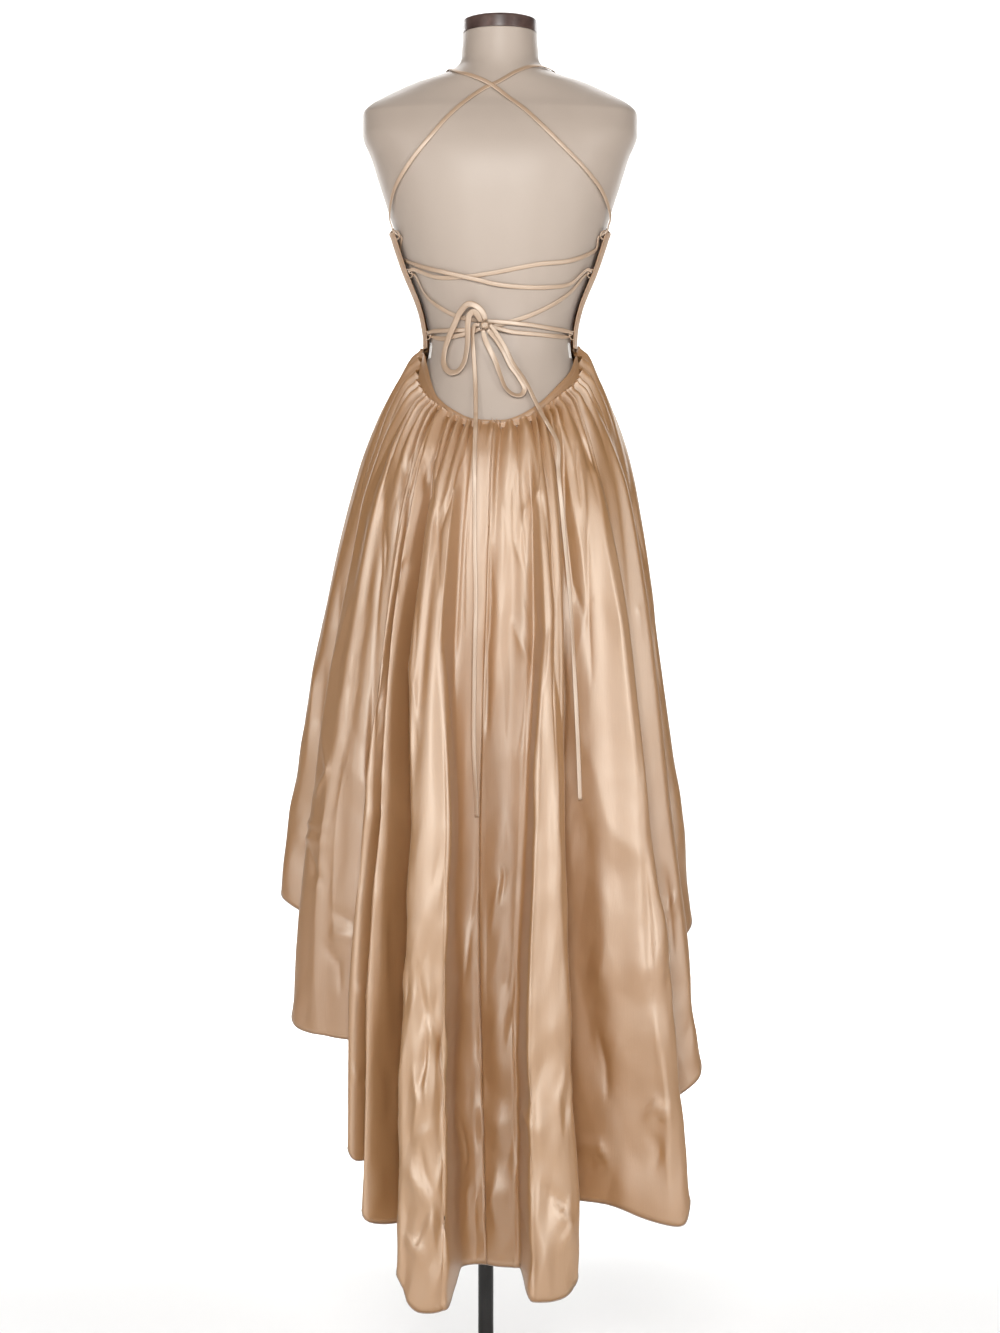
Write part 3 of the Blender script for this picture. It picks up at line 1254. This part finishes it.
def smooth_route(points, step=0.003):
    """A smooth curve through a route's points, with a point about every step."""
    points = [np.asarray(p, dtype=float) for p in points]
    dense = []
    for i in range(len(points) - 1):
        before = points[i - 1] if i else 2 * points[0] - points[1]
        after = points[i + 2] if i + 2 < len(points) else 2 * points[-1] - points[-2]
        corners = (before, points[i], points[i + 1], after)
        gaps = [max(np.linalg.norm(b - a), 1e-5) ** 0.5 for a, b in zip(corners, corners[1:])]
        knots = np.cumsum([0] + gaps)
        pieces = max(1, math.ceil(np.linalg.norm(corners[2] - corners[1]) / step - 0.2))
        for t in np.linspace(knots[1], knots[2], pieces, endpoint=False):
            low = [between(corners, k, t, knots, k + 1) for k in range(3)]
            mid = [between(low, k, t, knots, k + 2) for k in range(2)]
            dense.append(mid[0] + (mid[1] - mid[0]) * (t - knots[1]) / (knots[2] - knots[1]))
    dense.append(points[-1])
    return np.array(dense)


# %% Lacing loops
half = LOOP_TALL / 2
loop_way = [(0.6 * MM, half, LOOP_LIFT["edge"]), (LOOP_REACH * 0.45, half, sum(LOOP_LIFT.values()) / 2)]
loop_way += [(LOOP_REACH * 0.85, half * 0.6, LOOP_LIFT["tip"]), (LOOP_REACH, 0, LOOP_LIFT["tip"])]
loop_way += [(reach, -rise, lift) for reach, rise, lift in reversed(loop_way[:-1])]
for loop in LOOPS:
    route = smooth_route([loop_point(loop, *place) for place in loop_way], 0.0015)
    cord = tube_piece("loop_cord_" + loop, round_rings(route, LOOP_CORD / 2, 10, (0.2, 1, 0.1)), SATIN_TIES)
    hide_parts("lacing_loop_" + loop)
print("loops", len(LOOPS))

# %% Where the ties run
OVER_TOP_LOOP = (
    # reach, rise and lift in millimetres
    (1.5, 24, 8.0),
    (2.6, 11, 9.2),
    (3.4, 6.0, 10.1),
    (4.0, 1.2, 6.8),
    (4.5, -0.8, 3.5),
    (8.0, -3.8, 2.2),
)
TURN_AT_LOOP = (
    (15, 4.0, 6.2),
    (9.8, 2.6, 8.3),
    (6.6, 1.4, 7.8),
    (5.4, 0, 5.0),
    (6.6, -1.6, 2.5),
    (9.8, -2.8, 2.1),
)
STRAP_LEFT = (
    ("front", 105, 1695, 3.1),
    ("front", 99, 1740, 2.0),
    ("front", 90, 1780, 2.0),
    ("front", 80, 1815, 2.0),
    ("front", 74, 1832, 2.0),
    ("back", 70, 1838, 2.0),
    ("back", 58.5, 1829, 2.0),
    ("back", 37.5, 1820.2, 2.8),
    ("back", 12.5, 1806.9, 4.2),
    ("back", -12, 1787, 3.4),
    ("back", -33.1, 1770.2, 2.2),
    ("back", -60.5, 1742.9, 1.9),
    ("back", -88.7, 1714.2, 1.9),
    ("back", -117.2, 1685.7, 2.4),
    ("back", -139, 1657.9, 4.5),
    ("top_right", OVER_TOP_LOOP),
    ("back", -133, 1584.5, 2.6),
    ("back", -126, 1577.0, 2.0),
    ("back", -112, 1568.5, 1.9),
    ("back", -92, 1561.0, 1.9),
    ("back", -52.4, 1554.8, 1.8),
    ("back", 8.3, 1543.2, 1.8),
    ("back", 45.5, 1538.0, 1.7),
    ("back", 87.3, 1539.5, 1.8),
    ("middle_left", TURN_AT_LOOP),
    ("back", 104, 1520, 1.9),
    ("back", 83.4, 1499.5, 1.8),
    ("back", 56.1, 1484.3, 1.8),
    ("back", 20.7, 1477.7, 3.4),
    ("back", -12.4, 1475.0, 4.3),
    ("back", -30.0, 1473.2, 4.1),
    ("back", -45.0, 1472.0, 3.2),
    ("back", -68, 1469.5, 2.6),
    ("low_right", TURN_AT_LOOP),
    ("back", -75, 1459.5, 1.8),
    ("back", -41.5, 1460.6, 2.2),
    ("back", -18, 1462.2, 4.4),
    ("back", -2, 1465.6, 7.4),
    ("knot", -7.4, -1.0, -2.2),
)
STRAP_RIGHT = (
    ("front", -105, 1695, 3.1),
    ("front", -99, 1740, 2.0),
    ("front", -90, 1780, 2.0),
    ("front", -81, 1815, 2.0),
    ("front", -76, 1831, 2.0),
    ("back", -70, 1837.3, 2.0),
    ("back", -50.2, 1838.7, 2.0),
    ("back", -25, 1828.3, 1.9),
    ("back", 1.4, 1811.8, 1.8),
    ("back", 23.5, 1800.5, 1.8),
    ("back", 63.4, 1767.5, 1.8),
    ("back", 99.1, 1726.1, 1.9),
    ("back", 126, 1692.2, 2.6),
    ("back", 144, 1660, 4.8),
    ("top_left", OVER_TOP_LOOP),
    ("back", 137, 1578.0, 2.6),
    ("back", 129, 1567.5, 2.0),
    ("back", 116, 1559.5, 1.9),
    ("back", 101, 1553.0, 1.9),
    ("back", 82, 1547.0, 3.8),
    ("back", 64, 1541.8, 4.6),
    ("back", 45.5, 1536.8, 4.9),
    ("back", 26, 1532.2, 4.8),
    ("back", 8, 1527.8, 4.2),
    ("back", -25, 1524.0, 2.0),
    ("back", -65, 1524.6, 1.8),
    ("back", -97, 1532, 1.9),
    ("middle_right", TURN_AT_LOOP),
    ("back", -100, 1524, 1.9),
    ("back", -77.7, 1505.5, 1.8),
    ("back", -41.5, 1485.8, 1.8),
    ("back", -12.4, 1476.1, 1.7),
    ("back", 22.1, 1467.0, 1.7),
    ("back", 50, 1465.8, 1.8),
    ("back", 72, 1466.6, 2.6),
    ("low_left", TURN_AT_LOOP),
    ("back", 79, 1456.2, 1.9),
    ("back", 62, 1457.6, 3.6),
    ("back", 48, 1459.9, 4.5),
    ("back", 37, 1462.8, 5.8),
    ("knot", 7.0, -4.0, -4.6),
)
BOW_LEFT = (
    ("knot", -0.8, 6.6, 0.6),
    ("back", 22.0, 1488.0, 15.5),
    ("back", 30.5, 1496.8, 15.5),
    ("back", 40.0, 1499.5, 14.5),
    ("back", 50.5, 1489.5, 12.0),
    ("back", 59.6, 1471.6, 9.5),
    ("back", 67.3, 1455.8, 7.5),
    ("back", 73.6, 1437.0, 6.0),
    ("back", 75.0, 1421.0, 5.5),
    ("back", 70.5, 1410.5, 5.5),
    ("back", 63.0, 1406.5, 6.0),
    ("back", 55.0, 1408.8, 6.5),
    ("back", 47.8, 1418.6, 7.5),
    ("back", 43.0, 1437.6, 9.5),
    ("back", 41.0, 1457.0, 11.5),
    ("back", 40.6, 1473.4, 12.8),
    ("back", 38.2, 1485.5, 13.5),
    ("back", 32.5, 1489.0, 14.5),
    ("back", 28.0, 1483.5, 15.5),
    ("knot", 6.0, 4.6, 0.4),
)
BOW_RIGHT = (
    ("knot", 2.6, -6.8, 0.8),
    ("back", 19.2, 1452.0, 13.5),
    ("back", 13.3, 1437.5, 11.0),
    ("back", 6.2, 1421.3, 9.0),
    ("back", -0.8, 1400.1, 7.0),
    ("back", -7.9, 1383.2, 6.0),
    ("back", -17.9, 1374.4, 5.6),
    ("back", -28.0, 1373.7, 5.6),
    ("back", -33.0, 1382.5, 5.6),
    ("back", -25.2, 1399.3, 6.2),
    ("back", -14.2, 1415.2, 7.0),
    ("back", -4.5, 1435.5, 8.6),
    ("back", 6.0, 1453.0, 12.0),
    ("knot", -4.0, -6.4, 0.8),
)
# The hanging ends: on the form they are placed by their lift, then they lie on the skirt and hang from it.
TAIL_LEFT = (
    ("knot", 7.4, 0.2, 0.6),
    ("back", 31.6, 1471.2, 12.6),
    ("back", 35.2, 1463.0, 9.2),
    ("back", 35.6, 1441.6, 5.6),
    ("back", 33.4, 1395.3, 4.0),
    ("back", 32.4, 1366.0, 6.5),
    ("skirt", 33.4, 1336, 0),
    ("skirt", 34.4, 1300, 0),
    ("skirt", 34.7, 1182, 0),
    ("skirt", 33.2, 1088, 0),
    ("skirt", 35.6, 898, 0),
    ("skirt", 31.5, 796, 0),
)
TAIL_RIGHT = (
    ("knot", -7.3, 0.6, 2.2),
    ("back", 6.5, 1462.0, 16.6),
    ("back", -1.5, 1449.0, 14.6),
    ("back", -8.0, 1437.0, 12.2),
    ("back", -17.5, 1417.0, 10.0),
    ("back", -28.5, 1401.0, 9.0),
    ("back", -37.5, 1385.0, 8.6),
    ("back", -45.5, 1367.0, 8.6),
    ("skirt", -56, 1350, 0),
    ("skirt", -68, 1328, 0),
    ("skirt", -78, 1309, 0),
    ("skirt", -80.5, 1296, 0),
    ("skirt", -79.5, 1272, 0),
    ("skirt", -83.9, 1217, 0),
    ("skirt", -95.7, 1088, 0),
    ("skirt", -101.8, 969, 0),
    ("skirt", -105.4, 890, 0),
    ("skirt", -107.7, 820.7, 0),
)


# %% Ties
TIE_WIDTH = 6.0 * MM
TIE_THICK = 1.3 * MM
TIE_SIDES = 12
OFF_FORM = 1.0 * MM
TAIL_OFF_CLOTH = 1.9 * MM
PINCH = 0.55  # a tie's width where a loop or the knot squeezes it, as a share
PINCH_THICK = 1.3
SMOOTH_OVER = 9  # points of a tail's depth that are evened out together
TWISTS = ((19, 1.0), (47, 0.6))  # how quickly a tie turns along its length, and how much


def tree_of(mesh):
    corners = [v.co.copy() for v in mesh.vertices]
    return BVHTree.FromPolygons(corners, [tuple(p.vertices) for p in mesh.polygons])


form_tree = tree_of(torso.data)
cloth_trees = [tree_of(bpy.data.objects[name].data) for name in ("panel_back_left", "panel_back_right")]
cloth_trees += [tree_of(band.data) for band, _ in band_trim]


def cloth_depth(x, height):
    """How far back the outermost cloth reaches there, under a tie's width."""
    depth = None
    for aside in (-0.45, 0, 0.45):
        for tree in cloth_trees:
            hit = tree.ray_cast(Vector((x + aside * TIE_WIDTH, 1.0, height)), Vector((0, -1, 0)))[0]
            if hit:
                depth = hit.y if depth is None else max(depth, hit.y)
    return depth


def route_points(table):
    points = []
    for kind, *rest in table:
        if kind in ("back", "front"):
            x, height, lift = (value * MM for value in rest)
            points.append(on_form(x, height, lift, kind == "front"))
        elif kind == "knot":
            points.append(knot_point(*(value * MM for value in rest)))
        elif kind == "skirt":
            x, height = FORM_X + rest[0] * MM, rest[1] * MM
            points.append(np.array((x, cloth_depth(x, height) + TAIL_OFF_CLOTH, height)))
        else:
            points += [loop_point(kind, *(value * MM for value in place)) for place in rest[0]]
    return points


SQUEEZES = [(loop_point(loop, 5 * MM, 0, 5 * MM), 11 * MM) for loop in LOOPS] + [(knot_point(), 10 * MM)]
tie_lengths = {}


def tie_ring(sides=TIE_SIDES):
    """A pressed tube's section: flat, with round edges and a faint groove where its seam lies."""
    turn = np.linspace(0, 2 * np.pi, sides, endpoint=False)
    wide = np.sign(np.cos(turn)) * np.abs(np.cos(turn)) ** 0.85
    thick = np.sign(np.sin(turn)) * np.abs(np.sin(turn)) ** 0.7
    thick = thick * (1 - 0.22 * bell(np.cos(turn), 0.22))
    return wide, thick


def make_tie(name, table, node, twist=0.0, hang_from=None, wide_by=1.0):
    """A tie laid on its route, turned so that its flat side faces the body, with its own slight twist."""
    route = smooth_route(route_points(table))
    if hang_from is not None:
        farthest = -1.0
        for i, point in enumerate(route):
            if point[2] < hang_from:
                under = cloth_depth(point[0], point[2])
                clear = point[1] if under is None else under + TAIL_OFF_CLOTH
                farthest = max(farthest - 0.00002, clear)
                route[i] = (point[0], farthest, point[2])
        below = np.nonzero(route[:, 2] < hang_from)[0]
        depth = np.pad(route[below, 1], SMOOTH_OVER // 2, mode="edge")
        kernel = np.ones(SMOOTH_OVER) / SMOOTH_OVER
        route[below, 1] = np.maximum(route[below, 1], np.convolve(depth, kernel, "valid"))
    reached = np.concatenate([[0], np.cumsum(np.linalg.norm(np.diff(route, axis=0), axis=1))])
    rings, wide_way = [], None
    wide, thick = tie_ring()
    for i, point in enumerate(route):
        squeeze = max(float(bell(np.linalg.norm(point - place), reach)) for place, reach in SQUEEZES)
        width = wide_by * TIE_WIDTH * (1 - (1 - PINCH) * squeeze)
        deep = TIE_THICK * (1 + (PINCH_THICK - 1) * squeeze)
        near, normal, _, _ = form_tree.find_nearest(Vector(point))
        near, normal = np.array(near), np.array(normal)
        if (point - near) @ normal < deep / 2 + OFF_FORM:
            point = near + normal * (deep / 2 + OFF_FORM)
            route[i] = point
        ahead = unit(route[min(i + 1, len(route) - 1)] - route[max(i - 1, 0)])
        across = np.cross(normal, ahead)
        if wide_way is not None and np.linalg.norm(across) < 0.75:
            across = wide_way - ahead * (wide_way @ ahead)
        across = unit(across)
        if wide_way is not None and across @ wide_way < 0:
            across = -across
        wide_way = across
        up = np.cross(ahead, across)
        lean = twist * TWISTS[0][1] * math.sin(reached[i] * TWISTS[0][0] + len(name))
        lean += twist * TWISTS[1][1] * math.sin(reached[i] * TWISTS[1][0] + 1.3)
        lean *= min(1.0, reached[i] / 0.03)
        side = across * math.cos(lean) + up * math.sin(lean)
        face = up * math.cos(lean) - across * math.sin(lean)
        rings.append(point + np.outer(wide * width / 2, side) + np.outer(thick * deep / 2, face))
    piece = tube_piece(name, rings, SATIN_TIES)
    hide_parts(node)
    tie_lengths[name] = float(reached[-1])
    return piece, route


make_tie("tie_left", STRAP_LEFT, "strap_and_lacing_left", 0.10)
make_tie("tie_right", STRAP_RIGHT, "strap_and_lacing_right", 0.10)
make_tie("bow_left", BOW_LEFT, "bow_loop_left", 0.25, wide_by=1.4)
make_tie("bow_right", BOW_RIGHT, "bow_loop_right", 0.40, wide_by=1.2)
end_left = make_tie("end_left", TAIL_LEFT, "tail_left", 0.22, hang_from=1.345)
end_right = make_tie("end_right", TAIL_RIGHT, "tail_right", 0.22, hang_from=1.352)
for piece, route in (end_left, end_right):
    length = float(np.linalg.norm(np.diff(route, axis=0), axis=1).sum())
print("tie lengths", {name: round(length, 3) for name, length in tie_lengths.items()})

# %% Knot and hanger ribbons
knot_middle = knot_point()
side_way, rise_way, out_way = (knot_point(*step) - knot_middle for step in ((1, 0, 0), (0, 1, 0), (0, 0, 1)))
knot_turn = np.linspace(0, 2 * np.pi, 28, endpoint=False)
knot_rings = []
for share in np.sin(np.linspace(-np.pi / 2 * 0.93, np.pi / 2 * 0.93, 22)):
    lumps = 0.07 * np.cos(3 * knot_turn + 2.5 * share) + 0.05 * np.cos(7 * knot_turn + 4 * share)
    radius = (1 - share**4) ** 0.5 * (1 + lumps)
    knot_rings.append(
        knot_middle
        + rise_way * (KNOT["size"][2] * share)
        + np.outer(KNOT["size"][0] * radius * np.cos(knot_turn), side_way)
        + np.outer(KNOT["size"][1] * radius * np.sin(knot_turn), out_way)
    )
knot = tube_piece("knot", knot_rings, SATIN_TIES)
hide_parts("bow_knot")

HANGER = {"width": 3.2 * MM, "thick": 0.9 * MM, "angle": 76, "reach": 7 * MM, "low": 1.432, "high": 1.4525}
for sign, side in ((-1, "left"), (1, "right")):
    low, high, reach = HANGER["low"], HANGER["high"], HANGER["reach"]
    way = [(0, low), (0, high - reach / 2), (reach * 0.16, high - reach * 0.14), (reach / 2, high)]
    way += [(reach * 0.84, high - reach * 0.14), (reach, high - reach / 2), (reach, low)]
    lift = SEAM_GAP * 2 + HANGER["thick"] / 2
    angles = [HANGER["angle"] - math.degrees(a / 0.1) for a, _ in way]
    places = [form_points(sign * angle, h, lift) for angle, (_, h) in zip(angles, way)]
    route = smooth_route(places, 0.0012)
    ahead = directions(route)
    rings = []
    for point, forward in zip(route, ahead):
        outward = unit(np.array((point[0] - FORM_X, point[1], 0)))
        aside = unit(np.cross(outward, forward))
        wide, thick = aside * HANGER["width"] / 2, outward * HANGER["thick"] / 2
        corners = ((1, 1), (0, 1), (-1, 1), (-1, -1), (0, -1), (1, -1))
        rings.append([point + a * wide + b * thick for a, b in corners])
    ribbon = tube_piece("hanger_" + side, rings, RIBBON_WHITE)
    ribbon.data.set_sharp_from_angle(angle=math.radians(50))
    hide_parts("hanger_loop_" + side)
print("knot and ribbons done")

# %% Floor and light
def soft_light(name, place, aim, size, power, colour=(1, 1, 1)):
    data = bpy.data.lights.new(name, "AREA")
    data.shape = "RECTANGLE"
    data.size, data.size_y = size
    data.energy = power
    data.color = colour
    lamp = bpy.data.objects.new(name, data)
    bpy.context.scene.collection.objects.link(lamp)
    lamp.location = place
    lamp.rotation_euler = (Vector(aim) - Vector(place)).to_track_quat("-Z", "Y").to_euler()
    return lamp


FLOOR_HALF, WALL_HEIGHT = 10, 6
ROOM_LIGHT, ROOM_SEEN = 0.10, 0.80
FLOOR_WHITE, nodes, links, shader = new_material("studio_floor", (0.88, 0.88, 0.875), 0.6)
bm = bmesh.new()
bmesh.ops.create_grid(bm, x_segments=1, y_segments=1, size=FLOOR_HALF)
back = [e for e in bm.edges if all(v.co.y < 0.1 - FLOOR_HALF for v in e.verts)]
wall = bmesh.ops.extrude_edge_only(bm, edges=back)
wall_top = [v for v in wall["geom"] if isinstance(v, bmesh.types.BMVert)]
bmesh.ops.translate(bm, verts=wall_top, vec=(0, 0, WALL_HEIGHT))
bmesh.ops.bevel(bm, geom=back, offset=2.0, segments=24, profile=0.5, affect="EDGES", material=-1)
backdrop_mesh = bpy.data.meshes.new("studio_sweep")
bm.to_mesh(backdrop_mesh)
bm.free()
backdrop_mesh.shade_smooth()
backdrop_mesh.materials.append(FLOOR_WHITE)
backdrop = bpy.data.objects.new("studio_sweep", backdrop_mesh)
bpy.context.scene.collection.objects.link(backdrop)

# The room's light is low, so that folds keep their shade, while the room itself is seen pale.
world = bpy.data.worlds.new("studio")
world.use_nodes = True
room, room_links = world.node_tree.nodes, world.node_tree.links
room["Background"].inputs["Color"].default_value = (1, 1, 1, 1)
seen = room.new("ShaderNodeLightPath")
strength = room.new("ShaderNodeMapRange")
strength.inputs["To Min"].default_value = ROOM_LIGHT
strength.inputs["To Max"].default_value = ROOM_SEEN
room_links.new(seen.outputs["Is Camera Ray"], strength.inputs["Value"])
room_links.new(strength.outputs["Result"], room["Background"].inputs["Strength"])
bpy.context.scene.world = world
LAMPS = (
    # name, place, where it points, width and height, watts
    ("key", (0.12, 4.3, 2.4), (0, 0, 1.25), (1.2, 0.9), 118, (1.0, 0.99, 0.975)),
    ("side_left", (2.9, 3.0, 2.0), (0, 0, 1.0), (0.7, 1.1), 33),
    ("side_right", (-2.9, 3.0, 2.0), (0, 0, 1.0), (0.7, 1.1), 42),
    ("backdrop_left", (2.8, -2.0, 3.0), (0.6, -10, 1.6), (2, 2), 520),
    ("backdrop_right", (-2.8, -2.0, 3.0), (-0.6, -10, 1.6), (2, 2), 520),
    ("floor_top", (0, -3.2, 4.4), (0, -3.4, 0), (3, 3.6), 185),
    ("floor_back", (0, 5.0, 4.6), (0, 8.8, 0), (6, 3.0), 300),
    ("front_left", (2.7, -4.6, 2.7), (0, 0, 1.1), (1.4, 1.8), 50),
    ("front_right", (-2.7, -4.6, 2.7), (0, 0, 1.1), (1.4, 1.8), 38),
)
for lamp in LAMPS:
    soft_light(*lamp)
bpy.context.scene.view_settings.view_transform = "Standard"
